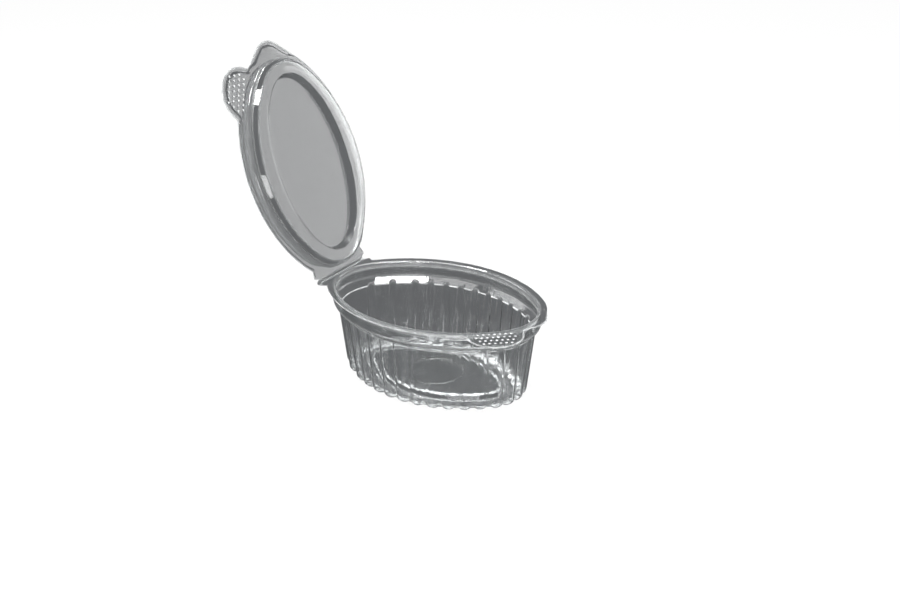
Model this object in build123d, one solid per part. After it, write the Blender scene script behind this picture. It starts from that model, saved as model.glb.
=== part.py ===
from build123d import *
from math import atan2, cos, degrees, radians, sin, tan
import os

# Oval sauce cup with an attached lid, thermoformed as one piece from thin clear sheet.
# All sizes are in millimetres. The origin is on the table under the middle of the cup.
# +X runs from the hinge to the tip, -Y is the side with the grip tabs, and +Z is up.
# The lid stands open. An offset is a distance outward from the inner wall of the mouth,
# and a depth on the lid is measured down from the underside of its flange, when shut.

os.makedirs("parts", exist_ok=True)

# Sheet
sheet = 0.35

# Mouth of the cup: an oval of four arcs, measured on the inner wall just under the rim
mouth_half_length = 39.3
mouth_half_width = 27.4
mouth_end_radius = 18.7

# Cup, from the rim down
cup_height = 33.0
rim_roll = 1.1
seal_lean = 1.2
seal_depth = 5.9
seal_foot_radius = 0.9
shoulder_width = 2.6
shoulder_drop = 2.5
wall_draft = 7.8
base_chamfer = 0.9

# Floor: a foot ring on the table and a raised panel with a shallow round recess
foot_ring_width = 6.0
floor_rise = 1.9
floor_slope = 1.2
floor_corner = 0.7
recess_radius = 10.0
recess_depth = 0.4

# Flutes: round channels that widen down the wall, each with a tapered toe
flute_radius = 1.2
flute_depth = 0.9
flute_foot_radius = 1.9
flute_toe_radius = 0.8
flute_toe_height = 0.5
flute_taper = 1.3
flute_pitch = 6.1
flutes_per_side = 12
hinge_flute_pitch = 8.5
hinge_flutes_per_side = 2

# Flange of the cup, and of the lid that shuts on it
flange_offset = 3.5
cup_nose_reach = 5.2
cup_nose_radius = 10.0
lid_nose_reach = 7.1
lid_nose_radius = 8.4
tab_radius = 10.0
tab_offset = 2.7
cup_tab_direction = -50.0
lid_tab_direction = -62.5
tab_corner = 1.5

# Lift lip around the edge of the lid's flange
lip_rise = 0.25
lip_width = 1.9
lip_side_width = 0.5

# Hinge: a strip across the end of each flange, and a loop of sheet folded outward
hinge_reach = 2.3
hinge_width = 26.6
hinge_shoulder_inset = 1.1
hinge_shoulder_width = 29.0
strip_gap = 0.7
loop_reach = 1.75
loop_half_width = 0.7
loop_flat = 0.1
loop_corner = 0.15

# Lid: a plug that snaps into the seal wall, and a panel raised inside it
lid_open = 110.0
closed_gap = 0.3
plug_clearance = 0.3
plug_corner = 0.8
plug_depth = 4.5
plug_inset = 1.4
plug_foot_radius = 0.8
groove_depth = 1.3
groove_inset = 0.45
groove_radius = 0.5
snap_depth = 2.6
snap_clearance = 0.15
snap_radius = 0.5
panel_half_length = 33.2
panel_half_width = 19.2
panel_rise = 2.6
panel_draft = 24.0

# Overlap where a turned band runs into the flat plate that it carries
lap = 0.45

# Sizes that follow from these
end_shift = mouth_half_length - mouth_end_radius
side_radius = (end_shift**2 + mouth_half_width**2 - mouth_end_radius**2) / (
    2 * (mouth_half_width - mouth_end_radius)
)
side_shift = side_radius - mouth_half_width
end_angle = degrees(atan2(side_shift, end_shift))
rim_land = rim_roll + lap
hinge_x = -mouth_half_length - hinge_reach
hinge_shoulder_x = -mouth_half_length + hinge_shoulder_inset
seal_foot_height = cup_height - seal_depth
shoulder_offset = seal_lean - shoulder_width
shoulder_height = seal_foot_height - shoulder_drop
wall_slope = tan(radians(wall_draft))
wall_foot_offset = shoulder_offset - (shoulder_height - sheet) * wall_slope
chamfer_offset = wall_foot_offset + base_chamfer * wall_slope
ring_offset = wall_foot_offset - foot_ring_width
floor_offset = ring_offset - floor_slope
floor_height = sheet + floor_rise
hinge_height = cup_height + closed_gap / 2
strip_end_x = hinge_x + strip_gap
plug_foot_offset = -plug_clearance - plug_inset


def oval_arcs():
    """Centre, radius, first direction and sweep of the four arcs of the mouth oval."""
    side_sweep = 180 - 2 * end_angle
    return [
        ((end_shift, 0), mouth_end_radius, -end_angle, 2 * end_angle),
        ((0, -side_shift), side_radius, end_angle, side_sweep),
        ((-end_shift, 0), mouth_end_radius, 180 - end_angle, 2 * end_angle),
        ((0, side_shift), side_radius, 180 + end_angle, side_sweep),
    ]


def oval(outward):
    """Face inside the mouth oval after it is grown by an offset."""
    arcs = [
        CenterArc(centre, radius + outward, start, sweep)
        for centre, radius, start, sweep in oval_arcs()
    ]
    return make_face(arcs)


def upright(centre, direction):
    """Plane through an arc's centre, with x outward in a direction and y up."""
    across = (sin(radians(direction)), -cos(radians(direction)), 0)
    outward = (cos(radians(direction)), sin(radians(direction)), 0)
    return Plane(origin=(*centre, 0), x_dir=outward, z_dir=across)


def around_oval(section):
    """Carry a section, drawn as offset and height, once around the mouth oval."""
    band = Part()
    for centre, radius, start, sweep in oval_arcs():
        placed = upright(centre, start) * (Pos(radius, 0) * section)
        band += revolve(placed, Axis((*centre, 0), (0, 0, 1)), sweep)
    return band


def plate(outline, bottom, thickness=sheet):
    """Flat plate of an outline, standing on a height."""
    return Pos(0, 0, bottom) * extrude(outline, amount=thickness)


def along_shoulder(distance):
    """Arc centre, arc radius and direction at a distance from the tip along the wall's top."""
    tip_arc_radius = mouth_end_radius + shoulder_offset
    side_arc_radius = side_radius + shoulder_offset
    tip_length = radians(end_angle) * tip_arc_radius
    side_length = radians(180 - 2 * end_angle) * side_arc_radius
    if distance < tip_length:
        return (end_shift, 0), mouth_end_radius, degrees(distance / tip_arc_radius)
    if distance < tip_length + side_length:
        turn = degrees((distance - tip_length) / side_arc_radius)
        return (0, -side_shift), side_radius, end_angle + turn
    turn = degrees((distance - tip_length - side_length) / tip_arc_radius)
    return (-end_shift, 0), mouth_end_radius, 180 - end_angle + turn


def flute(distance, skin):
    """One channel on the +Y side as a leaning cone with a tapered toe, grown by a skin."""
    centre, arc_radius, direction = along_shoulder(distance)
    plane = upright(centre, direction)
    foot_height = sheet + flute_toe_height + flute_taper
    rise = seal_foot_height + seal_foot_radius - foot_height
    crest = arc_radius + wall_foot_offset + (foot_height - sheet) * wall_slope + flute_depth
    foot = plane.from_local_coords((crest - flute_foot_radius, foot_height, 0))
    top = plane.from_local_coords(
        (crest + rise * wall_slope - flute_radius, foot_height + rise, 0)
    )
    channel = Cone(
        flute_foot_radius + skin,
        flute_radius + skin,
        (top - foot).length,
        align=(Align.CENTER, Align.CENTER, Align.MIN),
    )
    toe = Cone(
        flute_toe_radius + skin,
        flute_foot_radius + skin,
        flute_taper + skin,
        align=(Align.CENTER, Align.CENTER, Align.MAX),
    )
    return Plane(origin=foot, z_dir=top - foot) * (channel + toe)


def flutes(skin):
    """Every channel, grown by a skin. The hinge end stays plain."""
    even = [flute_pitch * n for n in range(1, flutes_per_side + 1)]
    wide = [even[-1] + hinge_flute_pitch * n for n in range(1, hinge_flutes_per_side + 1)]
    side = [flute(distance, skin) for distance in even + wide]
    return Part() + [flute(0, skin)] + side + [mirror(rod, Plane.XZ) for rod in side]


def cup_wall():
    """Rim, seal wall, shoulder, fluted wall, foot ring and the slope up to the floor."""
    inner = [
        (rim_land, cup_height),
        (0, cup_height),
        (seal_lean, seal_foot_height),
        (shoulder_offset, shoulder_height),
        (chamfer_offset, sheet + base_chamfer),
        (wall_foot_offset - base_chamfer, sheet),
        (ring_offset, sheet),
        (floor_offset, floor_height),
        (floor_offset - floor_corner - lap, floor_height),
    ]
    corners = [rim_roll, seal_foot_radius, 0, 0, 0, floor_corner, floor_corner]
    line = FilletPolyline(*inner, radius=corners)
    outside = offset(line, amount=sheet, side=Side.LEFT, kind=Kind.INTERSECTION)
    wall = around_oval(make_face(outside))
    inside = FilletPolyline(*inner[1:7], radius=corners[1:5])
    closing = Polyline(inner[6], (ring_offset, cup_height), inner[1])
    cavity = around_oval(make_face(inside + closing))
    wall += flutes(sheet) - cavity
    return wall - flutes(0)


def floor_panel():
    """Raised floor with its shallow round recess."""
    bottom = floor_height - sheet
    cup_floor = plate(oval(floor_offset - floor_corner), bottom)
    recess = Pos(0, 0, bottom - recess_depth) * Cylinder(
        recess_radius + sheet,
        sheet + recess_depth,
        align=(Align.CENTER, Align.CENTER, Align.MIN),
    )
    hollow = Pos(0, 0, floor_height - recess_depth) * Cylinder(
        recess_radius, 2 * recess_depth, align=(Align.CENTER, Align.CENTER, Align.MIN)
    )
    return cup_floor + recess - hollow


def hinge_strip():
    """Outline of the strip that carries a flange to the hinge."""
    inner_x = hinge_shoulder_x + hinge_shoulder_width / 2
    return make_face(
        Polyline(
            (strip_end_x, -hinge_width / 2),
            (hinge_shoulder_x, -hinge_shoulder_width / 2),
            (inner_x, -hinge_shoulder_width / 2),
            (inner_x, hinge_shoulder_width / 2),
            (hinge_shoulder_x, hinge_shoulder_width / 2),
            (strip_end_x, hinge_width / 2),
            (strip_end_x, -hinge_width / 2),
        )
    )


def past_shoulder():
    """Everything beyond the hinge shoulder, where only the strip goes on."""
    return Pos(hinge_shoulder_x, 0) * Rectangle(
        mouth_half_length, 4 * mouth_half_width, align=(Align.MAX, Align.CENTER)
    )


def flange_outline(nose_reach, nose_radius, tab_direction):
    """Grown oval with a pointed nose, a round grip tab and the hinge strip."""
    nose = Pos(mouth_half_length + nose_reach - nose_radius, 0) * Circle(nose_radius)
    rim = make_hull(oval(flange_offset).edges() + nose.edges())
    reach = mouth_end_radius + tab_offset
    tab_x = end_shift + reach * cos(radians(tab_direction))
    tab_y = reach * sin(radians(tab_direction))
    rim += Pos(tab_x, tab_y) * Circle(tab_radius)
    # Growing and then shrinking the outline rounds only its inward corners
    rim = offset(offset(rim, amount=tab_corner), amount=-tab_corner)
    return rim - past_shoulder() + hinge_strip()


def cup():
    """The cup with its flange."""
    flange = flange_outline(cup_nose_reach, cup_nose_radius, cup_tab_direction)
    flange -= oval(rim_roll)
    return cup_wall() + floor_panel() + plate(flange, cup_height - sheet)


def lid_flange():
    """Flange of the shut lid, with the lip around its edge lifted off the cup."""
    outline = flange_outline(lid_nose_reach, lid_nose_radius, lid_tab_direction)
    sides = oval(flange_offset - lip_side_width) - past_shoulder()
    field = offset(outline, amount=-lip_width) + sides + hinge_strip()
    lip = outline - offset(field, amount=-sheet) - past_shoulder()
    flange = plate(field, 0) + plate(lip, lip_rise)
    return flange - plate(oval(rim_roll), 0, cup_height)


def raised_panel(thickness):
    """Solid of the raised oval in the lid, grown upward and outward by a thickness."""
    outline = Ellipse(panel_half_length + thickness, panel_half_width + thickness)
    raised = extrude(outline, amount=panel_rise + thickness, taper=panel_draft)
    return Pos(0, 0, -plug_depth) * raised


def lid_plug():
    """Seal plug of the shut lid with its groove and snap bead, and the raised panel."""
    under = [
        (rim_land, 0),
        (-plug_clearance, 0),
        (-plug_clearance - groove_inset, -groove_depth),
        (-snap_clearance, -snap_depth),
        (plug_foot_offset, -plug_depth),
        (plug_foot_offset - plug_foot_radius - lap, -plug_depth),
    ]
    corners = [plug_corner, groove_radius, snap_radius, plug_foot_radius]
    line = FilletPolyline(*under, radius=corners)
    band = around_oval(make_face(offset(line, amount=sheet, side=Side.RIGHT)))
    ring = plate(oval(plug_foot_offset - plug_foot_radius), -plug_depth)
    return band + ring + raised_panel(sheet) - raised_panel(0)


def lid():
    """The lid, turned open about the hinge."""
    shut = Pos(0, 0, cup_height + closed_gap) * (lid_flange() + lid_plug())
    return shut.rotate(Axis((hinge_x, 0, hinge_height), (0, 1, 0)), -lid_open)


def living_hinge():
    """Loop of sheet from the cup's strip out and back to the strip of the open lid."""
    outward = Vector(1, 0).rotate(Axis.Z, 180 + lid_open / 2)
    cupward = Vector(-outward.Y, outward.X)
    start = Vector(strip_gap, -closed_gap / 2 - sheet)
    root = Vector((loop_half_width - start.Y * cupward.Y) / cupward.X, start.Y)
    end = outward * loop_reach
    corner = end + cupward * loop_half_width
    radii = [loop_corner, loop_half_width - loop_flat / 2]
    line = FilletPolyline(start, root, corner, end, radius=radii)
    half = make_face(offset(line, amount=sheet, side=Side.RIGHT))
    section = half + mirror(half, Plane(origin=(0, 0, 0), z_dir=cupward))
    side = Plane(
        origin=(hinge_x, hinge_width / 2, hinge_height), x_dir=(1, 0, 0), z_dir=(0, -1, 0)
    )
    return extrude(side * section, amount=hinge_width)


pieces = {"cup": cup(), "living_hinge": living_hinge(), "lid": lid()}
for name, piece in pieces.items():
    export_step(piece, f"parts/{name}.step")
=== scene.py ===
from functools import partial
from math import atan2, cos, degrees, hypot, pi, radians, sin, tan

import bmesh
import bpy
import numpy as np
from mathutils import Matrix, Vector


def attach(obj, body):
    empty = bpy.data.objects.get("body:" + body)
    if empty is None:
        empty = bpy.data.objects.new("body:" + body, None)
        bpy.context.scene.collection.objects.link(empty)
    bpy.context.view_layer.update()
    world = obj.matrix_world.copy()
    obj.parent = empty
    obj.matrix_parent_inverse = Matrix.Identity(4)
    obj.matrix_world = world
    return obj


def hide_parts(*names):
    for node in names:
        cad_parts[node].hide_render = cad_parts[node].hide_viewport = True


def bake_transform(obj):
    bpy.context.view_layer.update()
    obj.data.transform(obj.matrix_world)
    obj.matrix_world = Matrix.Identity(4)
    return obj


# Oval sauce cup with an attached lid, thermoformed from thin clear sheet.
# Sizes are in millimetres, as in the part's source, and meshes are scaled to metres.
# An offset is a distance outward from the inner wall of the mouth.

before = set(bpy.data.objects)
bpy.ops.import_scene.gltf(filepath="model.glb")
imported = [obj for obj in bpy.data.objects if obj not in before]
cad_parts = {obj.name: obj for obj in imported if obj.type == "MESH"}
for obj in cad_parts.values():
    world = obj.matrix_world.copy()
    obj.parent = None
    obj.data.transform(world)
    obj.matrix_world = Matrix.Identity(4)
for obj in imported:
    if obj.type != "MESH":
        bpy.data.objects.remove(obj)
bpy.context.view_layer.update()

MM = 0.001

# Sheet
sheet = 0.35

# Mouth of the cup: an oval of four arcs
mouth_half_length = 39.3
mouth_half_width = 27.4
mouth_end_radius = 18.7

# Cup, from the rim down
cup_height = 33.0
rim_roll = 1.1
seal_lean = 1.2
seal_depth = 5.9
seal_foot_radius = 0.9
bead_depth = 2.1
bead_half_height = 0.7
bead_proud = 0.3
bead_radius = 0.4
shoulder_width = 2.6
shoulder_drop = 2.5
shoulder_radius = 0.5
wall_draft = 7.8
base_corner = 2.4

# Floor of the cup
foot_ring_width = 6.0
floor_rise = 1.9
floor_slope = 1.2
floor_corner = 0.8
recess_radius = 10.0
recess_depth = 0.4
recess_corner = 0.15

# Flutes pressed outward in the wall
flute_radius = 1.5
flute_depth = 0.65
flute_foot_radius = 2.5
flute_foot_depth = 1.25
flute_toe_height = 0.1
flute_taper = 2.0
flute_edge = 0.35
flute_blend = 0.2
foot_blend_growth = 3.0
flute_pitch = 6.1
flutes_per_side = 12
hinge_flute_pitch = 8.5
hinge_flutes_per_side = 2

# Flanges
flange_offset = 3.5
cup_nose_reach = 5.2
cup_nose_radius = 10.0
lid_nose_reach = 7.1
lid_nose_radius = 8.4
tab_radius = 10.0
tab_offset = 2.7
cup_tab_direction = -50.0
lid_tab_direction = -62.5
tab_corner = 1.5
lip_rise = 0.25
lip_width = 1.9
lip_side_width = 0.5

# Hinge
hinge_reach = 2.3
hinge_width = 26.6
hinge_shoulder_inset = 1.1
hinge_shoulder_width = 29.0
strip_gap = 0.7
loop_reach = 1.75
loop_half_width = 0.7
loop_flat = 0.1
loop_corner = 0.15

# Lid
lid_open = 110.0
closed_gap = 0.3
plug_clearance = 0.3
plug_corner = 0.8
plug_depth = 4.5
plug_inset = 1.4
plug_foot_radius = 0.8
groove_depth = 1.3
groove_inset = 0.45
groove_radius = 0.5
snap_depth = 2.6
snap_clearance = 0.15
snap_radius = 0.5
panel_half_length = 33.2
panel_half_width = 19.2
panel_rise = 2.6
panel_draft = 24.0
panel_corner = 0.15
ring_crown = 0.1
flange_crown = 0.05

# Grip dashes on the tabs
dash_length = 0.9
dash_width = 0.8
dash_height = 0.24
dash_pitch = 1.8
dash_row_pitch = 1.9
dash_field_radius = 6.6
dash_field_offset = 2.6
dash_lift = 0.02

# Rows and columns of the meshes
cut_edge = 0.06
end_row = 0.25
wall_row = 3.6
shoulder_row = 0.36
plain_row = 2.2
lid_row = 0.9
column_gap = 0.12
cup_flute_columns = (0, 0.4, 0.8, 1.1, 1.3, 1.55, 1.8, 2.05, 2.3)
cup_between_columns = (2.75, 3.35)
lid_flute_columns = (0, 0.75, 1.5, 2.25)
lid_between_columns = (3.05, 3.8)
hinge_end_columns = 14
tab_side_columns = np.linspace(-1.2, 1.2, 9)

# Shares of the lip's width at which a flange has rings, and the lip's height there
lip_steps = ((0.5, 1.0), (0.86, 1.0), (0.95, 0.85), (1.05, 0.15), (1.14, 0.0))
plain_steps = ((0.35, 1.0), (1.0, 1.0))

# Painted highlight: how pale a full turn of the sheet is painted, by where it lies
rim_highlight_paint = 0.06
bead_highlight_paint = 0.35
seal_foot_highlight_paint = 0.1
shoulder_highlight_paint = 0.6
base_corner_highlight_paint = 0.7
floor_corner_highlight_paint = 0.85
floor_slope_highlight_paint = 0.3
lid_turn_highlight_paint = 0.12

# Painted highlight in other places: cut edges, foot ring, recess edge, hinge and dashes
cup_edge_highlight_paint = [0.4, 0.3]
lid_edge_highlight_paint = [0.5, 0.3]
foot_ring_highlight_paint = 0.08
recess_highlight_paint = [0.0, 0.0, 0.05, 0.12, 0.12, 0.05, 0.0, 0.0]
hinge_highlight_paint = 0.15
dash_highlight_paint = 0.6

# Painted highlights: pale outlines of the flutes, stronger where they notch the shoulder, and
# pale spots on the toes
outline_highlight_paint = 0.06
tooth_highlight_paint = 0.6
tooth_fade = 8.0
outline_width = 0.25
toe_spot_highlight_paint = 0.6
toe_spot_share = 0.62
toe_spot_square = 0.8

# Noise in the sheet, per metre, and the depth of its waves and streaks in metres
wave_scale = 95
wave_depth = 0.0008
streak_scale = 620
streak_stretch = 0.06
streak_depth = 0.0002
haze_scale = 160
haze_roughness = 0.09
mottle_scale = 480

# Tones of the sheet and of its painted highlights, and of the grey floor and room that show in it
# and through it; the floor's grey is painted shade
sheet_tint = (0.925, 0.935, 0.935)
grip_tint = (0.97, 0.98, 0.98)
highlight_paint_tone = (0.9, 0.92, 0.92)
highlight_paint_through = 0.05
card_radius = 1.1
floor_shade_tone = (0.135, 0.138, 0.143)
dome_tone = (0.24, 0.244, 0.25)

# Overlap where the turned rim runs into the flat flange
lap = 0.45

# Stored as the reach of the rows that no flute may press
off_wall = 50.0

# Sizes that follow from these
rim_land = rim_roll + lap
end_shift = mouth_half_length - mouth_end_radius
side_radius = (end_shift**2 + mouth_half_width**2 - mouth_end_radius**2) / (
    2 * (mouth_half_width - mouth_end_radius)
)
side_shift = side_radius - mouth_half_width
end_angle = atan2(side_shift, end_shift)
hinge_x = -mouth_half_length - hinge_reach
hinge_height = cup_height + closed_gap / 2
hinge_shoulder_x = -mouth_half_length + hinge_shoulder_inset
strip_end_x = hinge_x + strip_gap
seal_foot_height = cup_height - seal_depth
shoulder_offset = seal_lean - shoulder_width
shoulder_height = seal_foot_height - shoulder_drop
wall_slope = tan(radians(wall_draft))
wall_foot_offset = shoulder_offset - (shoulder_height - sheet) * wall_slope
ring_offset = wall_foot_offset - foot_ring_width
floor_offset = ring_offset - floor_slope
floor_height = sheet + floor_rise
plug_foot_offset = -plug_clearance - plug_inset
tip_arc = end_angle * (mouth_end_radius + shoulder_offset)
side_arc = (pi - 2 * end_angle) * (side_radius + shoulder_offset)


# Columns round the mouth

def flute_centres():
    """Distances of the flutes from the tip, along the top of the wall on one side."""
    even = [flute_pitch * n for n in range(flutes_per_side + 1)]
    wide = [even[-1] + hinge_flute_pitch * n for n in range(1, hinge_flutes_per_side + 1)]
    return even + wide


def column_distances(across_flute, between_flutes):
    """Signed distances of the mesh's columns: close over each flute and wide between."""
    half = 2 * tip_arc + side_arc
    places = set()
    for centre in flute_centres():
        for step in across_flute:
            places.add(round(centre + step, 4))
            places.add(round(abs(centre - step), 4))
        for step in between_flutes:
            places.add(round(centre + step, 4))
    last = flute_centres()[-1] + flute_pitch / 2
    places.update(np.round(np.linspace(last, half, hinge_end_columns), 4))
    for direction in (cup_tab_direction, lid_tab_direction):
        for side in (-1, 1):
            edge = -tab_side_distance(direction, side)
            places.update(np.round(edge + tab_side_columns, 4))
    kept = [0.0]
    for place in sorted(places):
        if kept[-1] + column_gap < place < half - column_gap:
            kept.append(place)
    return np.array([-half] + [-place for place in kept[:0:-1]] + kept)


def tab_side_distance(direction, side):
    """Distance along the wall's top at which one side of a tab leaves the flange."""
    spread = side * degrees(tab_radius / (mouth_end_radius + tab_offset))
    turn = radians(-direction + spread)
    if turn < end_angle:
        return -turn * (mouth_end_radius + shoulder_offset)
    # Past the end arc the side arc turns more slowly for the same distance
    along = (turn - end_angle) * (mouth_end_radius + tab_offset)
    return -(tip_arc + along * (side_radius + shoulder_offset) / (side_radius + tab_offset))


class Columns:
    """Points on the mouth oval and their outward directions, once around."""

    def __init__(self, distances):
        size = len(distances)
        self.point = np.zeros((size, 2))
        self.outward = np.zeros((size, 2))
        self.arc_radius = np.zeros(size)
        self.distance = distances
        for row, signed in enumerate(distances):
            centre, radius, turn = self.place(abs(signed))
            mirror = -1 if signed < 0 else 1
            direction = np.array((cos(turn), sin(turn)))
            self.point[row] = (np.array(centre) + radius * direction) * (1, mirror)
            self.outward[row] = direction * (1, mirror)
            self.arc_radius[row] = radius
        gaps = np.abs(np.abs(distances)[:, None] - np.array(flute_centres())[None, :])
        self.flute_gap = gaps.min(axis=1)

    @staticmethod
    def place(distance):
        """Arc centre, arc radius and direction, in radians, at a distance from the tip."""
        end_radius = mouth_end_radius + shoulder_offset
        if distance < tip_arc:
            return (end_shift, 0), mouth_end_radius, distance / end_radius
        if distance < tip_arc + side_arc:
            turn = (distance - tip_arc) / (side_radius + shoulder_offset)
            return (0, -side_shift), side_radius, end_angle + turn
        turn = (distance - tip_arc - side_arc) / end_radius
        return (-end_shift, 0), mouth_end_radius, pi - end_angle + turn

    def crossing(self, centre, radius, far=True):
        """Distance along each column at which it leaves, or first meets, a circle."""
        to_point = self.point - np.array(centre)
        along = (to_point * self.outward).sum(axis=1)
        square = along**2 - (to_point**2).sum(axis=1) + radius**2
        root = np.sqrt(np.maximum(square, 0))
        hit = -along + (root if far else -root)
        return np.where(square > 0, hit, -np.inf)


def flange_reach(columns, nose_reach, nose_radius, tab_direction, inset):
    """Distance from the mouth to the flange's outline along each column, less an inset."""
    edge = np.full(len(columns.distance), flange_offset - inset)
    from_end = columns.point - np.array((end_shift, 0))
    turn = np.abs(np.arctan2(from_end[:, 1], from_end[:, 0]))
    spread = mouth_half_length + nose_reach - nose_radius - end_shift
    round_end = mouth_end_radius + flange_offset
    tangent = np.arccos((round_end - nose_radius) / spread)
    small = nose_radius - inset
    nose_turn = atan2(small * sin(tangent), spread + small * cos(tangent))
    line = (round_end - inset) / np.cos(turn - tangent) - mouth_end_radius
    edge = np.where(turn < tangent, line, edge)
    nose = columns.crossing((end_shift + spread, 0), small)
    edge = np.where(turn < nose_turn, nose, edge)
    # Tab, with a round inward corner where it leaves the edge on each side
    reach = mouth_end_radius + tab_offset
    direction = radians(tab_direction)
    tab = np.array((end_shift + reach * cos(direction), reach * sin(direction)))
    corner = tab_corner + inset
    centres = columns.point + columns.outward * (edge + corner)[:, None]
    clearance = np.hypot(*(centres - tab).T) - (tab_radius - inset + corner)
    grown = np.maximum(edge, columns.crossing(tab, tab_radius - inset))
    for row in np.nonzero(clearance[:-1] * clearance[1:] < 0)[0]:
        share = clearance[row] / (clearance[row] - clearance[row + 1])
        middle = centres[row] * (1 - share) + centres[row + 1] * share
        near = columns.crossing(middle, corner, far=False)
        toward_tab = np.arange(len(edge)) > row
        if clearance[row] < 0:
            toward_tab = ~toward_tab
        close = np.hypot(*(columns.point - middle).T) < 4 * tab_radius
        grown = np.where(toward_tab & close, np.maximum(grown, near), grown)
    return np.where(hinge_end(columns), strip_reach(columns), grown)


def hinge_end(columns):
    """Columns whose flange ends on the hinge strip instead of the outline."""
    tip = columns.point + columns.outward * flange_offset
    return (tip[:, 0] < hinge_shoulder_x + 0.4) & (columns.point[:, 0] < 0)


def strip_reach(columns):
    """Distance along each column to the slanted sides and the end of the hinge strip."""
    run = hinge_shoulder_x - strip_end_x
    flare = (hinge_shoulder_width - hinge_width) / 2
    side = np.array((-flare, -run)) / hypot(flare, run)
    corner = np.array((strip_end_x, hinge_width / 2))
    outward = columns.outward * np.where(columns.point[:, 1:] < 0, (1, -1), (1, 1))
    point = columns.point * np.where(columns.point[:, 1:] < 0, (1, -1), (1, 1))
    side_normal = np.array((side[1], -side[0]))
    to_side = ((corner - point) @ side_normal) / np.maximum(outward @ side_normal, 1e-6)
    to_end = (strip_end_x - point[:, 0]) / np.minimum(outward[:, 0], -1e-6)
    to_side = np.where(outward @ side_normal > 1e-3, to_side, np.inf)
    return np.minimum(to_side, to_end)


# Profiles

def rounded(points, radii, turn_step=15.0):
    """Polyline with its inner corners turned into arcs, as a list of points."""
    line = [np.array(points[0], float)]
    for before, corner, after, radius in zip(points, points[1:], points[2:], radii):
        corner = np.array(corner, float)
        back = np.array(before, float) - corner
        on = np.array(after, float) - corner
        back /= np.linalg.norm(back)
        on /= np.linalg.norm(on)
        half = np.arccos(np.clip(back @ on, -1, 1)) / 2
        if radius <= 0:
            line.append(corner)
            continue
        middle = corner + (back + on) / np.linalg.norm(back + on) * radius / sin(half)
        first = corner + back * radius / tan(half) - middle
        last = corner + on * radius / tan(half) - middle
        start = atan2(first[1], first[0])
        sweep = (atan2(last[1], last[0]) - start + pi) % (2 * pi) - pi
        steps = max(2, round(abs(degrees(sweep)) / turn_step))
        for step in range(steps + 1):
            turn = start + sweep * step / steps
            line.append(middle + radius * np.array((cos(turn), sin(turn))))
    line.append(np.array(points[-1], float))
    return line


def divided(line, longest):
    """The same line with its long stretches cut up, and a point close to both their ends."""
    out = [line[0]]
    for before, after in zip(line, line[1:]):
        length = np.linalg.norm(after - before)
        count = max(1, round(length / longest(before, after)))
        shares = {n / count for n in range(1, count + 1)}
        if length > 4 * end_row:
            shares |= {end_row / length, 1 - end_row / length}
        out += [before + (after - before) * share for share in sorted(shares)]
    return out


# Meshes

def placed(name, data):
    """New object in the scene."""
    thing = bpy.data.objects.new(name, data)
    bpy.context.scene.collection.objects.link(thing)
    return thing


def ring_mesh(name, rings, pole):
    """Closed sheet from rings of points, outermost first, to a single pole point."""
    columns = len(rings[0])
    points = np.vstack(rings + [np.array([pole])])
    faces = []
    for ring in range(len(rings) - 1):
        for column in range(columns):
            after = (column + 1) % columns
            a, b = ring * columns + column, ring * columns + after
            faces.append((a, b, b + columns, a + columns))
    last = (len(rings) - 1) * columns
    for column in range(columns):
        faces.append((last + column, last + (column + 1) % columns, len(points) - 1))
    mesh = bpy.data.meshes.new(name)
    mesh.from_pydata((points * MM).tolist(), [], faces)
    return placed(name, mesh)


def store(piece, name, values):
    """Keep one number or one vector for each point of a mesh."""
    kind = "FLOAT" if values.ndim == 1 else "FLOAT_VECTOR"
    layer = piece.data.attributes.new(name, kind, "POINT")
    layer.data.foreach_set("value" if kind == "FLOAT" else "vector", values.ravel())


def bend_of(line):
    """How sharply a line turns at each of its points, from nothing to one."""
    turns = [0.0]
    for before, here, after in zip(line, line[1:], line[2:]):
        first = atan2(here[1] - before[1], here[0] - before[0])
        turn = atan2(after[1] - here[1], after[0] - here[0]) - first
        turns.append(min(1.0, abs((turn + pi) % (2 * pi) - pi) / radians(14)))
    return turns + [0.0]


def finished(piece, material, sharp=50.0):
    """Bake the modifiers into the mesh, shade it smooth and give it its material."""
    view = bpy.context.evaluated_depsgraph_get()
    mesh = bpy.data.meshes.new_from_object(piece.evaluated_get(view))
    piece.modifiers.clear()
    old, piece.data = piece.data, mesh
    bpy.data.meshes.remove(old)
    for layer in ("across", "reach", "outward"):
        if layer in mesh.attributes:
            mesh.attributes.remove(mesh.attributes[layer])
    mesh.shade_smooth()
    mesh.set_sharp_from_angle(angle=radians(sharp))
    mesh.materials.clear()
    mesh.materials.append(material)


def thicken(piece):
    """Give a surface the sheet's thickness, away from its faces' normals."""
    solid = piece.modifiers.new("sheet", "SOLIDIFY")
    solid.thickness = sheet * MM
    solid.offset = -1
    solid.use_quality_normals = True
    solid.use_rim = True


def opened():
    """Turn of the lid from shut to where it stands."""
    place = Matrix.Translation((hinge_x * MM, 0, hinge_height * MM))
    return place @ Matrix.Rotation(radians(-lid_open), 4, "Y") @ place.inverted()


# Node groups

def link_all(tree, links):
    """Link pairs of sockets, from an output to an input."""
    for source, target in links:
        tree.links.new(source, target)


def set_inputs(tree, node, values):
    """Give a node's inputs numbers, or link them to other nodes' outputs."""
    for slot, value in values.items():
        if isinstance(value, (int, float)):
            node.inputs[slot].default_value = value
        else:
            tree.links.new(value, node.inputs[slot])


def math_node(tree, operation, *values):
    """One step of arithmetic on numbers and other nodes' outputs."""
    node = tree.nodes.new("ShaderNodeMath")
    node.operation = operation
    set_inputs(tree, node, dict(enumerate(values)))
    return node.outputs[0]


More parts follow.
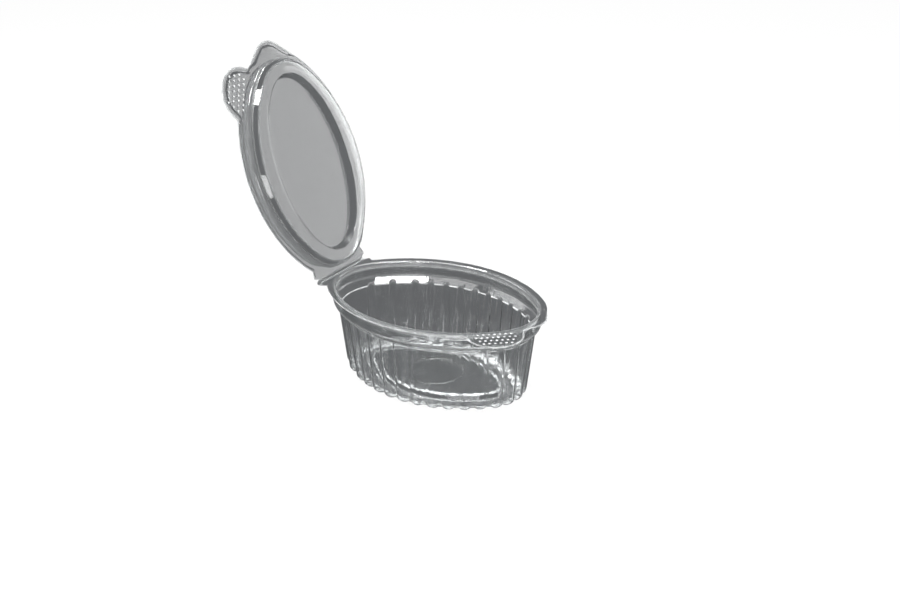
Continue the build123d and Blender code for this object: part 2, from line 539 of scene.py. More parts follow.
def ranged(tree, value, start=0.0, end=1.0, low=0.0, high=1.0, smooth=False):
    """A value carried from one range to another, and held at its ends."""
    node = tree.nodes.new("ShaderNodeMapRange")
    node.interpolation_type = "SMOOTHSTEP" if smooth else "LINEAR"
    bounds = {"From Min": start, "From Max": end, "To Min": low, "To Max": high}
    set_inputs(tree, node, {"Value": value, **bounds})
    return node.outputs[0]


def named(tree, name, kind="FLOAT"):
    """Number or vector stored on the mesh under a name."""
    node = tree.nodes.new("GeometryNodeInputNamedAttribute")
    node.data_type = kind
    node.inputs["Name"].default_value = name
    return node.outputs["Attribute"]


def geometry_tree(name, sizes):
    """Empty node group with a geometry in and out and named inputs for its sizes."""
    tree = bpy.data.node_groups.new(name, "GeometryNodeTree")
    face = tree.interface
    face.new_socket("Geometry", in_out="INPUT", socket_type="NodeSocketGeometry")
    for size in sizes:
        face.new_socket(size, in_out="INPUT", socket_type="NodeSocketFloat")
    face.new_socket("Material", in_out="INPUT", socket_type="NodeSocketMaterial")
    face.new_socket("Geometry", in_out="OUTPUT", socket_type="NodeSocketGeometry")
    return tree, tree.nodes.new("NodeGroupInput"), tree.nodes.new("NodeGroupOutput")


def apply_tree(piece, tree, sizes, material):
    """Put a node group on a piece, with its inputs set by identifier."""
    modifier = piece.modifiers.new(tree.name, "NODES")
    modifier.node_group = tree
    values = {name: float(size) for name, size in sizes.items()}
    values["Material"] = material
    for item in tree.interface.items_tree:
        if item.in_out == "INPUT" and item.name in values:
            modifier[item.identifier] = values[item.name]


def press_flutes_tree():
    """Push a wall outward where leaning rods with tapered feet meet it, and paint highlights on
    it there.
    """
    sizes = ["Top radius", "Foot radius", "Top depth", "Foot depth", "Foot height"]
    sizes += ["Top height", "Taper", "Edge", "Blend", "Line", "Tooth line", "Spot"]
    sizes += ["Wall foot", "Wall slope", "Unit"]
    tree, into, out = geometry_tree("press flutes", sizes)
    calc = partial(math_node, tree)
    size = into.outputs
    foot, top = size["Foot height"], size["Top height"]
    place = tree.nodes.new("GeometryNodeInputPosition")
    split = tree.nodes.new("ShaderNodeSeparateXYZ")
    tree.links.new(place.outputs[0], split.inputs[0])
    height = calc("DIVIDE", split.outputs["Z"], size["Unit"])
    level = calc("MAXIMUM", height, foot)
    share = ranged(tree, level, foot, top)
    radius = ranged(tree, level, foot, top, size["Foot radius"], size["Top radius"])
    depth = ranged(tree, level, foot, top, size["Foot depth"], size["Top depth"])

    # How far the back of the rod stands out past the wall, with its foot drawn to a taper
    below = calc("MAXIMUM", calc("SUBTRACT", foot, height), 0.0)
    below = calc("MULTIPLY", below, calc("DIVIDE", radius, size["Taper"]))
    across = named(tree, "across")
    square = calc("MULTIPLY", radius, radius)
    square = calc("SUBTRACT", square, calc("MULTIPLY", across, across))
    square = calc("SUBTRACT", square, calc("MULTIPLY", below, below))
    bulge = calc("SQRT", calc("MAXIMUM", square, 0.0))
    centre = calc("MULTIPLY_ADD", level, size["Wall slope"], size["Wall foot"])
    centre = calc("ADD", calc("SUBTRACT", centre, radius), depth)
    reach = named(tree, "reach")
    proud = calc("SUBTRACT", calc("ADD", centre, bulge), reach)

    # Higher up the rods would cut the rim, so they stop at the top height
    below_top = calc("LESS_THAN", height, top)
    blend = calc("MULTIPLY_ADD", share, 1 - foot_blend_growth, foot_blend_growth)
    blend = calc("MULTIPLY", blend, size["Blend"])
    soft = calc("ADD", calc("MULTIPLY", proud, proud), calc("MULTIPLY", blend, blend))
    press = calc("MULTIPLY", calc("ADD", proud, calc("SQRT", soft)), 0.5)
    edge = calc("MINIMUM", calc("DIVIDE", bulge, size["Edge"]), below_top)
    press = calc("MULTIPLY", calc("MULTIPLY", press, edge), size["Unit"])
    scale = tree.nodes.new("ShaderNodeVectorMath")
    scale.operation = "SCALE"
    tree.links.new(named(tree, "outward", "FLOAT_VECTOR"), scale.inputs[0])
    tree.links.new(press, scale.inputs["Scale"])

    # Painted highlights: each flute has a pale outline, and its toe a round pale spot
    near_top = calc("POWER", share, tooth_fade)
    line = calc("MULTIPLY_ADD", near_top, size["Tooth line"], size["Line"])
    line = calc("MULTIPLY", line, below_top)
    line = ranged(tree, calc("ABSOLUTE", proud), 0.0, outline_width, line, 0.0, True)
    rise = calc("MULTIPLY_ADD", foot, -toe_spot_share, height)
    away = calc("MULTIPLY_ADD", across, across, calc("MULTIPLY", rise, rise))
    spot = ranged(tree, away, 0.0, toe_spot_square, size["Spot"], 0.0, True)
    spot = calc("MULTIPLY", spot, calc("LESS_THAN", reach, off_wall / 2))
    # The wall's own painted highlights at its turns are dropped where a flute is pressed
    pressed = calc("MULTIPLY", ranged(tree, proud, 0.0, outline_width), share)
    kept = calc("MULTIPLY", calc("SUBTRACT", 1.0, pressed), named(tree, "painted_highlight"))
    pale = tree.nodes.new("GeometryNodeStoreNamedAttribute")
    pale.inputs["Name"].default_value = "painted_highlight"
    move = tree.nodes.new("GeometryNodeSetPosition")
    paint = tree.nodes.new("GeometryNodeSetMaterial")
    link_all(tree, [
        (calc("MAXIMUM", kept, calc("MAXIMUM", line, spot)), pale.inputs["Value"]),
        (into.outputs["Geometry"], pale.inputs["Geometry"]),
        (pale.outputs[0], move.inputs["Geometry"]),
        (scale.outputs[0], move.inputs["Offset"]),
        (move.outputs[0], paint.inputs["Geometry"]),
        (size["Material"], paint.inputs["Material"]),
        (paint.outputs[0], out.inputs[0]),
    ])
    return tree


# Materials

def plain_material(name):
    """New material and its node tree."""
    material = bpy.data.materials.new(name)
    material.use_nodes = True
    return material, material.node_tree


def noise(tree, place, scale, detail=2.0):
    """Soft noise at a place, as one number."""
    node = tree.nodes.new("ShaderNodeTexNoise")
    set_inputs(tree, node, {"Vector": place, "Scale": scale, "Detail": detail})
    return node.outputs["Fac"]


def bumped(tree, height, strength, depth):
    """Bump node over a height."""
    node = tree.nodes.new("ShaderNodeBump")
    set_inputs(tree, node, {"Height": height, "Strength": strength, "Distance": depth})
    return node


def clear_sheet(name, tint, wave_strength, streak_strength, pale_streaks, frost=0.0):
    """Clear formed sheet, with faint waves and streaks, and a pale haze as painted highlight
    where the mesh stores it.
    """
    material, tree = plain_material(name)
    shader = tree.nodes["Principled BSDF"]
    shader.inputs["Base Color"].default_value = (*tint, 1)
    shader.inputs["Transmission Weight"].default_value = 1.0
    shader.inputs["IOR"].default_value = 1.5
    place = tree.nodes.new("ShaderNodeTexCoord").outputs["Object"]
    stretch = tree.nodes.new("ShaderNodeMapping")
    stretch.inputs["Scale"].default_value = (1, 1, streak_stretch)
    tree.links.new(place, stretch.inputs["Vector"])
    streaks = noise(tree, stretch.outputs[0], streak_scale)
    waved = bumped(tree, noise(tree, place, wave_scale, 1.0), wave_strength, wave_depth)
    drawn = bumped(tree, streaks, streak_strength, streak_depth)
    haze = noise(tree, place, haze_scale)
    roughness = ranged(tree, haze, low=frost, high=frost + haze_roughness)

    # The painted highlight is broken up by fine mottle, most of all low on the cup
    split = tree.nodes.new("ShaderNodeSeparateXYZ")
    tree.links.new(place, split.inputs[0])
    even = ranged(tree, split.outputs["Z"], 0.016, 0.026, 0.12, 0.65)
    mottle = ranged(tree, noise(tree, place, mottle_scale, 3.0), 0.44, 0.62, even)
    painted_highlight = tree.nodes.new("ShaderNodeAttribute")
    painted_highlight.attribute_name = "painted_highlight"
    paled = math_node(tree, "MULTIPLY", painted_highlight.outputs["Fac"], mottle)
    scratches = ranged(tree, streaks, 0.60, 0.74, 0.0, pale_streaks)
    paled = math_node(tree, "MAXIMUM", paled, scratches)
    # Painted highlight: a pale diffuse and translucent haze mixed over the clear sheet
    front = tree.nodes.new("ShaderNodeBsdfDiffuse")
    front.inputs["Color"].default_value = (*highlight_paint_tone, 1)
    behind = tree.nodes.new("ShaderNodeBsdfTranslucent")
    behind.inputs["Color"].default_value = (*highlight_paint_tone, 1)
    scatter = tree.nodes.new("ShaderNodeMixShader")
    scatter.inputs["Fac"].default_value = highlight_paint_through
    mix = tree.nodes.new("ShaderNodeMixShader")
    link_all(tree, [
        (waved.outputs[0], drawn.inputs["Normal"]),
        (drawn.outputs[0], shader.inputs["Normal"]),
        (roughness, shader.inputs["Roughness"]),
        (front.outputs[0], scatter.inputs[1]),
        (behind.outputs[0], scatter.inputs[2]),
        (paled, mix.inputs["Fac"]),
        (shader.outputs[0], mix.inputs[1]),
        (scatter.outputs[0], mix.inputs[2]),
        (mix.outputs[0], tree.nodes["Material Output"].inputs["Surface"]),
    ])
    return material


# Cup

def cup_line():
    """Inner line of the cup as offset and height, from the flange to the floor's recess."""
    lean = seal_lean / seal_depth
    bead_top = bead_depth - bead_half_height
    bead_foot = bead_depth + bead_half_height
    points = [
        (rim_land, cup_height),
        (0, cup_height),
        (bead_top * lean, cup_height - bead_top),
        (bead_depth * lean - bead_proud, cup_height - bead_depth),
        (bead_foot * lean, cup_height - bead_foot),
        (seal_lean, seal_foot_height),
        (shoulder_offset, shoulder_height),
        (wall_foot_offset, sheet),
        (ring_offset, sheet),
        (floor_offset, floor_height),
        (floor_offset - floor_corner - 0.5, floor_height),
    ]
    radii = [rim_roll, bead_radius, bead_radius, bead_radius]
    radii += [seal_foot_radius, shoulder_radius, base_corner]
    radii += [floor_corner, floor_corner]
    line = divided(rounded(points, radii, 20), cup_row_pitch)
    # The rim's roll runs a few microns into the bead, so their points are put in order
    seal = [point for point in line if point[1] > seal_foot_height]
    return sorted(seal, key=lambda point: -round(point[1], 6)) + line[len(seal):]


def cup_row_pitch(before, after):
    """Longest row on a stretch of the cup's line."""
    if before[1] - after[1] > 10:
        return wall_row
    if shoulder_height - 0.3 < max(before[1], after[1]) < seal_foot_height + 0.2:
        return shoulder_row
    return plain_row


def with_foot_rows(line):
    """The same line with extra rows where the flutes' feet end."""
    heights = np.array([point[1] for point in line])
    levels = sheet + flute_toe_height + flute_taper * np.linspace(-0.15, 1.25, 10)[::-1]
    levels = [level for level in levels if min(abs(heights - level)) > 0.06]
    out = [line[0]]
    for before, after in zip(line, line[1:]):
        for level in levels:
            if before[1] > level > after[1]:
                share = (before[1] - level) / (before[1] - after[1])
                out.append(before + (after - before) * share)
        out.append(after)
    return out


def ring_points(columns, offsets, heights):
    """One ring of points at an offset and a height on each column."""
    offsets = np.broadcast_to(offsets, columns.distance.shape)
    heights = np.broadcast_to(heights, columns.distance.shape)
    flat = columns.point + columns.outward * offsets[:, None]
    return np.column_stack([flat, heights])


def flange_rings(columns, nose_reach, nose_radius, tab_direction, height, lip=0.0, crown=0.0):
    """Rings over a flange, from its cut edge in to the land, with an optional lip."""
    def outline(inset):
        return flange_reach(columns, nose_reach, nose_radius, tab_direction, inset)

    full = outline(0)
    strip = hinge_end(columns)
    width = np.where(full > flange_offset + 0.3, lip_width, lip_side_width)
    width = smoothed(width, 5)
    rings = [(full, 1.0), (full - cut_edge * np.where(strip, 0.02, 1), 1.0)]
    for share, raised in lip_steps if lip else plain_steps:
        rings.append((along_inset(outline, full, strip, width, share), raised))
    innermost = rings[-1][0]
    for share in (0.34, 0.67):
        rings.append((innermost * (1 - share) + rim_land * share, 0.0))
    out = []
    for offsets, raised in rings:
        spread = np.clip((offsets - rim_land) / (flange_offset - rim_land), 0, 1)
        rise = (lip * raised + crown * spread) * np.where(strip, 0.0, 1.0)
        out.append(ring_points(columns, np.maximum(offsets, rim_land * 0.98), height + rise))
    return out


def smoothed(values, passes):
    """Values averaged with their neighbours round a ring."""
    for _ in range(passes):
        values = (np.roll(values, 1) + values + np.roll(values, -1)) / 3
    return values


def along_inset(outline, full, strip, width, share):
    """Outline at a share of each column's own inset."""
    wide = outline(lip_width * share)
    slim = outline(lip_side_width * share)
    mix = (width - lip_side_width) / (lip_width - lip_side_width)
    inner = slim * (1 - mix) + wide * mix
    return np.where(strip, full + (rim_land - full) * 0.3 * share, inner)


def floor_rings(columns, start_offset):
    """Rings from the raised floor's edge to its shallow round recess."""
    edge = ring_points(columns, start_offset, floor_height)
    turn = np.arctan2(edge[:, 1], edge[:, 0])
    circle = np.column_stack([np.cos(turn), np.sin(turn)])
    share = 0.6
    flat = edge[:, :2] * (1 - share) + circle * (recess_radius + 0.5) * share
    rings = [np.column_stack([flat, np.full(len(flat), floor_height)])]
    low = floor_height - recess_depth
    inner = recess_radius - 2 * recess_corner
    for radius, height in (
        (recess_radius + recess_corner + 0.25, floor_height),
        (recess_radius + recess_corner, floor_height),
        (recess_radius, floor_height - recess_corner / 2),
        (recess_radius - recess_corner, low + recess_corner / 2),
        (inner, low),
        (inner - 0.25, low),
        (recess_radius * 0.4, low),
    ):
        rings.append(np.column_stack([circle * radius, np.full(len(circle), height)]))
    return rings


def painted_highlight_at(offset, height):
    """Painted highlight: how pale a full turn of the cup's line is painted, by where it lies."""
    if height > cup_height - bead_depth + bead_half_height + 0.2:
        return rim_highlight_paint
    if height > cup_height - bead_depth - 0.2:
        return bead_highlight_paint
    if height > shoulder_height + 0.6:
        return seal_foot_highlight_paint
    if height > shoulder_height - 0.6:
        return shoulder_highlight_paint
    if offset > wall_foot_offset - 2.6:
        return base_corner_highlight_paint
    return floor_corner_highlight_paint if height > floor_height - 0.6 else floor_slope_highlight_paint


def make_cup(material):
    """The cup: one sheet from the flange's edge to the middle of the floor."""
    columns = Columns(column_distances(cup_flute_columns, cup_between_columns))
    count = len(columns.distance)
    rings = flange_rings(columns, cup_nose_reach, cup_nose_radius, cup_tab_direction, cup_height)
    reach = [off_wall] * len(rings)
    # Painted highlight, kept per ring: on the cut edge, and at each turn of the line by where it
    # lies
    painted_highlight = cup_edge_highlight_paint + [0.0] * (len(rings) - 2)
    line = with_foot_rows(cup_line())
    for (offset, height), turn in zip(line, bend_of(line)):
        rings.append(ring_points(columns, offset, height))
        reach.append(offset if offset > ring_offset + 0.1 else off_wall)
        on_ring = height < sheet + 0.05
        painted_highlight.append(max(turn * painted_highlight_at(offset, height), foot_ring_highlight_paint * on_ring))
    floor = floor_rings(columns, line[-1][0])
    rings += floor
    reach = np.append(np.repeat(reach + [off_wall] * len(floor), count), off_wall)
    painted_highlight = np.append(np.repeat(painted_highlight + recess_highlight_paint, count), 0.0)
    piece = ring_mesh("cup_sheet", rings, (0, 0, floor_height - recess_depth))
    # Columns draw together inward, so each row's flutes are measured on its own arc
    arc_radius = np.tile(columns.arc_radius, len(rings))
    spread = (arc_radius + np.minimum(reach[:-1], 0)) / (arc_radius + shoulder_offset)
    across = np.tile(columns.flute_gap, len(rings)) * spread
    outward = np.column_stack([columns.outward, np.zeros(count)])
    store(piece, "across", np.append(across, off_wall))
    store(piece, "reach", reach)
    store(piece, "painted_highlight", painted_highlight)
    store(piece, "outward", np.vstack([np.tile(outward, (len(rings), 1)), (0, 0, 0)]))
    sizes = {
        "Top radius": flute_radius,
        "Foot radius": flute_foot_radius,
        "Top depth": flute_depth,
        "Foot depth": flute_foot_depth,
        "Foot height": sheet + flute_toe_height + flute_taper,
        "Top height": seal_foot_height + seal_foot_radius,
        "Taper": flute_taper,
        "Edge": flute_edge,
        "Blend": flute_blend,
        "Line": outline_highlight_paint,
        "Tooth line": tooth_highlight_paint,
        "Spot": toe_spot_highlight_paint,
        "Wall foot": wall_foot_offset - sheet * wall_slope,
        "Wall slope": wall_slope,
        "Unit": MM,
    }
    apply_tree(piece, press_flutes_tree(), sizes, material)
    thicken(piece)
    finished(piece, material)
    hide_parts("cup")
    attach(piece, "cup")
    return piece


# Lid

def lid_line():
    """Lower line of the shut lid as offset and depth, from the flange to the plug's foot."""
    points = [
        (rim_land, 0),
        (-plug_clearance, 0),
        (-plug_clearance - groove_inset, -groove_depth),
        (-snap_clearance, -snap_depth),
        (plug_foot_offset, ring_crown - plug_depth),
        (plug_foot_offset - plug_foot_radius - 1.2, ring_crown * 0.6 - plug_depth),
    ]
    radii = [plug_corner, groove_radius, snap_radius, plug_foot_radius]
    return divided(rounded(points, radii, 14), lambda before, after: lid_row)


def panel_rings(columns, start_offset):
    """Rings from the plug's flat ring up the slope of the raised oval and across it."""
    edge = ring_points(columns, start_offset, -plug_depth)
    turn = np.arctan2(edge[:, 1] / panel_half_width, edge[:, 0] / panel_half_length)
    unit = np.column_stack([np.cos(turn), np.sin(turn)])
    run = panel_rise * tan(radians(panel_draft))
    slope = [(2.0, 0), (0, 0), (-run, panel_rise), (-run - 3, panel_rise)]
    rings = []
    for outward, rise in rounded(slope, [panel_corner, panel_corner], 14):
        size = np.array((panel_half_length + outward, panel_half_width + outward))
        rings.append(np.column_stack([unit * size, np.full(len(unit), rise - plug_depth)]))
    top = panel_rise - plug_depth
    for share in (0.6, 0.25):
        size = np.array((panel_half_length, panel_half_width)) * share
        rings.append(np.column_stack([unit * size, np.full(len(unit), top)]))
    return rings


def make_lid(material):
    """The lid, formed shut and then turned open about the hinge."""
    columns = Columns(column_distances(lid_flute_columns, lid_between_columns))
    shape = (lid_nose_reach, lid_nose_radius, lid_tab_direction)
    rings = flange_rings(columns, *shape, 0, lip_rise, flange_crown)
    line = lid_line()
    # Painted highlight, kept per ring: on the cut edge and at each turn of the line
    painted_highlight = lid_edge_highlight_paint + [0.0] * (len(rings) - 2)
    painted_highlight += [lid_turn_highlight_paint * turn for turn in bend_of(line)]
    rings += [ring_points(columns, offset, height) for offset, height in line]
    rings += panel_rings(columns, line[-1][0])
    painted_highlight += [0.0] * (len(rings) - len(painted_highlight))
    shift = np.array((0, 0, cup_height + closed_gap))
    rings = [ring + shift for ring in rings]
    pole = shift + np.array((0, 0, panel_rise - plug_depth))
    piece = ring_mesh("lid_sheet", rings, pole)
    store(piece, "painted_highlight", np.append(np.repeat(painted_highlight, len(columns.distance)), 0.0))
    # The line is the lower face, so the sheet grows upward from it
    piece.data.flip_normals()
    thicken(piece)
    finished(piece, material)
    piece.data.transform(opened())
    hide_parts("lid")
    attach(piece, "lid")


# Grip dashes

def grip_dash_tree():
    """Rows of small round-ended bumps inside a circle on a flat tab."""
    sizes = ["Field radius", "Dash pitch", "Row pitch", "Length", "Width", "Height"]
    sizes += ["Mouth centre", "Land radius"]
    tree, into, out = geometry_tree("grip dashes", sizes)
    calc = partial(math_node, tree)
    size = into.outputs
    wide = calc("MULTIPLY", size["Field radius"], 2.0)
    across = calc("ADD", calc("DIVIDE", wide, size["Dash pitch"]), 1.0)
    rows = calc("ADD", calc("DIVIDE", wide, size["Row pitch"]), 1.0)
    grid = tree.nodes.new("GeometryNodeMeshGrid")
    place = tree.nodes.new("GeometryNodeInputPosition")
    split = tree.nodes.new("ShaderNodeSeparateXYZ")
    row = calc("DIVIDE", split.outputs["Y"], size["Row pitch"])
    odd = calc("PINGPONG", calc("ROUND", row), 1.0)
    step = calc("MULTIPLY", odd, calc("MULTIPLY", size["Dash pitch"], 0.5))
    shift = tree.nodes.new("ShaderNodeCombineXYZ")
    stagger = tree.nodes.new("GeometryNodeSetPosition")
    away = tree.nodes.new("ShaderNodeVectorMath")
    away.operation = "LENGTH"
    outside = tree.nodes.new("FunctionNodeCompare")
    outside.operation = "GREATER_THAN"
    trim = tree.nodes.new("GeometryNodeDeleteGeometry")
    over = calc("SUBTRACT", split.outputs["Y"], size["Mouth centre"])
    over = calc("MULTIPLY", over, over)
    over = calc("MULTIPLY_ADD", split.outputs["X"], split.outputs["X"], over)
    over = calc("LESS_THAN", calc("SQRT", over), size["Land radius"])
    bump = tree.nodes.new("GeometryNodeMeshUVSphere")
    bump.inputs["Segments"].default_value = 12
    bump.inputs["Rings"].default_value = 8
    bump.inputs["Radius"].default_value = 0.5
    form = tree.nodes.new("ShaderNodeCombineXYZ")
    scatter = tree.nodes.new("GeometryNodeInstanceOnPoints")
    real = tree.nodes.new("GeometryNodeRealizeInstances")
    smooth = tree.nodes.new("GeometryNodeSetShadeSmooth")
    paint = tree.nodes.new("GeometryNodeSetMaterial")
    link_all(tree, [
        (wide, grid.inputs["Size X"]),
        (wide, grid.inputs["Size Y"]),
        (across, grid.inputs["Vertices X"]),
        (rows, grid.inputs["Vertices Y"]),
        (place.outputs[0], split.inputs[0]),
        (step, shift.inputs["X"]),
        (grid.outputs["Mesh"], stagger.inputs["Geometry"]),
        (shift.outputs[0], stagger.inputs["Offset"]),
        (place.outputs[0], away.inputs[0]),
        (away.outputs["Value"], outside.inputs["A"]),
        (size["Field radius"], outside.inputs["B"]),
        (stagger.outputs[0], trim.inputs["Geometry"]),
        (calc("MAXIMUM", outside.outputs[0], over), trim.inputs["Selection"]),
        (size["Length"], form.inputs["X"]),
        (size["Width"], form.inputs["Y"]),
        (size["Height"], form.inputs["Z"]),
        (trim.outputs[0], scatter.inputs["Points"]),
        (bump.outputs["Mesh"], scatter.inputs["Instance"]),
        (form.outputs[0], scatter.inputs["Scale"]),
        (scatter.outputs[0], real.inputs[0]),
        (real.outputs[0], smooth.inputs["Geometry"]),
        (smooth.outputs[0], paint.inputs["Geometry"]),
        (size["Material"], paint.inputs["Material"]),
        (paint.outputs[0], out.inputs[0]),
    ])
    return tree


def make_grip(name, tree, body, direction, height, material):
    """Patch of grip dashes on a tab, turned open with the lid if it rides there."""
    piece = placed(name, bpy.data.meshes.new(name))
    reach = mouth_end_radius + tab_offset + dash_field_offset
    sizes = {
        "Field radius": dash_field_radius * MM,
        "Dash pitch": dash_pitch * MM,
        "Row pitch": dash_row_pitch * MM,
        "Length": dash_length * MM,
        "Width": dash_width * MM,
        "Height": dash_height * MM,
        "Mouth centre": reach * MM,
        "Land radius": (mouth_end_radius + rim_land) * MM,
    }
    apply_tree(piece, tree, sizes, material)
    finished(piece, material)
    # Painted highlight: the dashes are paled all over
    store(piece, "painted_highlight", np.full(len(piece.data.vertices), dash_highlight_paint))
    turn = radians(direction)
    centre = Vector((end_shift + reach * cos(turn), reach * sin(turn), height)) * MM
    turned = Matrix.Rotation(radians(direction + 90), 4, "Z")
    piece.data.transform(Matrix.Translation(centre) @ turned)
    if body == "lid":
        piece.data.transform(opened())
    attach(piece, body)
    return piece


# Hinge

def make_hinge(material):
    """Loop of sheet between the strips of the cup and the lid."""
    outward = radians(180 + lid_open / 2)
    out = np.array((cos(outward), sin(outward)))
    cupward = np.array((-out[1], out[0]))
    start = np.array((strip_gap, -closed_gap / 2))
    root = np.array(((loop_half_width - start[1] * cupward[1]) / cupward[0], start[1]))
    end = out * loop_reach
    corner = end + cupward * loop_half_width
    radii = [loop_corner, loop_half_width - loop_flat / 2]
    half = rounded([start, root, corner, end], radii, 10)
    other = [point - 2 * (point @ cupward) * cupward for point in half[-2::-1]]
    section = half + other
    steps = np.linspace(-hinge_width / 2, hinge_width / 2, 60)
    points = [
        ((hinge_x + x) * MM, y * MM, (hinge_height + z) * MM)
        for y in steps
        for x, z in section
    ]
    rows = len(section)
    faces = [
        (k * rows + n, k * rows + n + 1, (k + 1) * rows + n + 1, (k + 1) * rows + n)
        for k in range(len(steps) - 1)
        for n in range(rows - 1)
    ]
    mesh = bpy.data.meshes.new("hinge_fold")
    mesh.from_pydata(points, [], faces)
    piece = placed("hinge_fold", mesh)
    # Painted highlight: the whole fold is paled evenly
    store(piece, "painted_highlight", np.full(len(points), hinge_highlight_paint))
    thicken(piece)
    finished(piece, material)
    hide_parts("living_hinge")
    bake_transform(piece)


# Stage, light and camera

def white_where_seen(tree):
    """One for what is seen directly, in gloss or through the clear sheet, else nothing."""
    path = tree.nodes.new("ShaderNodeLightPath").outputs
    seen = math_node(tree, "MAXIMUM", path["Is Glossy Ray"], path["Is Transmission Ray"])
    return math_node(tree, "MAXIMUM", path["Is Camera Ray"], seen)


def make_floor():
    """Plain pale floor that reads as white and keeps a faint shadow."""
    mesh = bpy.data.meshes.new("floor")
    half, low = 1.2, -0.0002
    corners = [(-half, -half, low), (half, -half, low), (half, half, low), (-half, half, low)]
    mesh.from_pydata(corners, [], [(0, 1, 2, 3)])
    material, tree = plain_material("pale floor")
    shader = tree.nodes["Principled BSDF"]
    shader.inputs["Base Color"].default_value = (0.9, 0.9, 0.9, 1)
    shader.inputs["Roughness"].default_value = 0.9
    glow = tree.nodes.new("ShaderNodeEmission")
    mix = tree.nodes.new("ShaderNodeMixShader")
    link_all(tree, [
        (math_node(tree, "MULTIPLY", white_where_seen(tree), 0.94), mix.inputs["Fac"]),
        (shader.outputs[0], mix.inputs[1]),
        (glow.outputs[0], mix.inputs[2]),
        (mix.outputs[0], tree.nodes["Material Output"].inputs["Surface"]),
    ])
    mesh.materials.append(material)
    placed("floor", mesh)


def grey_stage(name, mesh, tone):
    """Grey surface that shows only in and through the sheet."""
    stage = placed(name, mesh)
    stage.visible_camera = False
    stage.visible_diffuse = False
    stage.visible_shadow = False
    material, tree = plain_material(name.replace("_", " "))
    tree.nodes.remove(tree.nodes["Principled BSDF"])
    glow = tree.nodes.new("ShaderNodeEmission")
    glow.inputs["Color"].default_value = (*tone, 1)
    tree.links.new(glow.outputs[0], tree.nodes["Material Output"].inputs["Surface"])
    mesh.materials.append(material)


def make_surround():
    """Grey card under the cup and grey dome round it, as the photograph's sheet shows."""
    steps = 96
    turns = [2 * pi * n / steps for n in range(steps)]
    # Painted shade: the card's flat grey stands for the floor and the cup's shadow on it, as they
    # show in and through the sheet
    rim = [(card_radius * cos(turn), card_radius * sin(turn), -0.00015) for turn in turns]
    card = bpy.data.meshes.new("grey_card")
    card.from_pydata(rim, [], [tuple(range(steps))])
    grey_stage("grey_card", card, floor_shade_tone)
    dome = bpy.data.meshes.new("grey_dome")
    form = bmesh.new()
    bmesh.ops.create_uvsphere(form, u_segments=48, v_segments=24, radius=card_radius)
    low = [vertex for vertex in form.verts if vertex.co.z < -0.01]
    bmesh.ops.delete(form, geom=low, context="VERTS")
    form.to_mesh(dome)
    form.free()
    grey_stage("grey_dome", dome, dome_tone)


def make_world():
    """White background, and a plain grey level for what lights the object."""
    world = bpy.data.worlds.new("studio")
    bpy.context.scene.world = world
    world.use_nodes = True
    tree = world.node_tree
    plain = tree.nodes["Background"]
    plain.inputs["Color"].default_value = (1, 1, 1, 1)
    plain.inputs["Strength"].default_value = 0.55
    white = tree.nodes.new("ShaderNodeBackground")
    white.inputs["Color"].default_value = (1, 1, 1, 1)
    mix = tree.nodes.new("ShaderNodeMixShader")
    seen = white_where_seen(tree)
    link_all(tree, [
        (seen, mix.inputs["Fac"]),
        (plain.outputs[0], mix.inputs[1]),
        (white.outputs[0], mix.inputs[2]),
        (mix.outputs[0], tree.nodes["World Output"].inputs["Surface"]),
    ])


def softbox(name, place, target, width, height, power, lit=()):
    """Area lamp turned to face a point, lighting everything or only some pieces."""
    data = bpy.data.lights.new(name, "AREA")
    data.shape = "RECTANGLE"
    data.size, data.size_y = width, height
    data.energy = power
    lamp = placed(name, data)
    lamp.location = place
    lamp.rotation_euler = (Vector(target) - Vector(place)).to_track_quat("-Z", "Y").to_euler()
    if lit:
        chosen = bpy.data.collections.new(name)
        for piece in lit:
            chosen.objects.link(piece)
        lamp.light_linking.receiver_collection = chosen


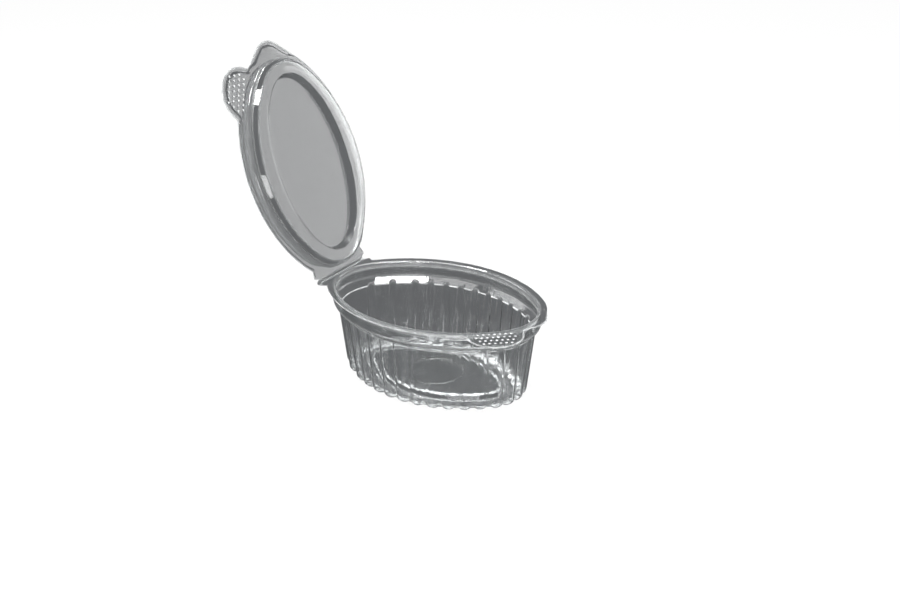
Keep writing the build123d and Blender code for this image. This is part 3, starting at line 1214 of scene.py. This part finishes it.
def make_camera():
    """Camera at the photograph's viewing angle, framed without shift."""
    azimuth, elevation = radians(32.1), radians(24.6)
    distance, focal_pixels = 420.0, 1130.8
    frame_width, frame_height = 900, 600
    origin_across, origin_down = 435.0, 375.2
    back = Vector((sin(azimuth) * cos(elevation), -cos(azimuth) * cos(elevation), sin(elevation)))
    right = Vector((cos(azimuth), sin(azimuth), 0))
    up = back.cross(right)
    shift_right = (origin_across - frame_width / 2) / focal_pixels * distance
    shift_up = (frame_height / 2 - origin_down) / focal_pixels * distance
    data = bpy.data.cameras.new("camera")
    data.sensor_width = 36.0
    data.lens = focal_pixels / frame_width * data.sensor_width
    data.clip_start = 0.01
    camera = placed("camera", data)
    camera.location = (back * distance - right * shift_right - up * shift_up) * MM
    camera.rotation_euler = Matrix((right, up, back)).transposed().to_euler()
    bpy.context.scene.camera = camera


bpy.context.scene.view_settings.view_transform = "Standard"
cup_finish = clear_sheet("clear cup sheet", sheet_tint, 0.12, 0.18, 0.04)
lid_finish = clear_sheet("clear lid sheet", sheet_tint, 0.05, 0.0, 0.0)
grip_finish = clear_sheet("frosted grip", grip_tint, 0.1, 0.0, 0.0, 0.1)
cup = make_cup(cup_finish)
make_lid(lid_finish)
make_hinge(lid_finish)
dashes = grip_dash_tree()
cup_grip = make_grip("cup_grip", dashes, "cup", cup_tab_direction,
                     cup_height + dash_lift, grip_finish)
make_grip("lid_grip", dashes, "lid", lid_tab_direction,
          cup_height + closed_gap - dash_lift, grip_finish)
make_floor()
make_surround()
make_world()
softbox("overhead", (0.12, -0.15, 0.65), (-0.02, 0.02, 0.028), 0.34, 0.12, 4.5)
softbox("top left", (-0.30, 0.04, 0.58), (0, 0.02, 0.01), 0.30, 0.10, 4)
softbox("left", (-0.60, -0.10, 0.42), (0, 0, 0.03), 0.40, 0.40, 2)
softbox("front", (0.30, -0.60, 0.12), (0, 0, 0.02), 0.25, 0.20, 1.0)
softbox("front high", (0.296, -0.47, 0.50), (0, 0, 0.01), 0.45, 0.25, 1.2, [cup, cup_grip])
softbox("top front", (-0.22, -0.20, 0.62), (0, 0.02, 0.03), 0.36, 0.22, 0.8, [cup])
softbox("behind", (-0.14, 0.26, 0.63), (0, 0, 0.03), 0.35, 0.28, 2.4, [cup])
softbox("window", (0.52, 0.56, 0.17), (-0.06, 0, 0.07), 0.50, 0.50, 1.95)
softbox("window side", (0.36, 0.78, 0.20), (-0.06, 0, 0.07), 0.30, 0.50, 0.8)
make_camera()
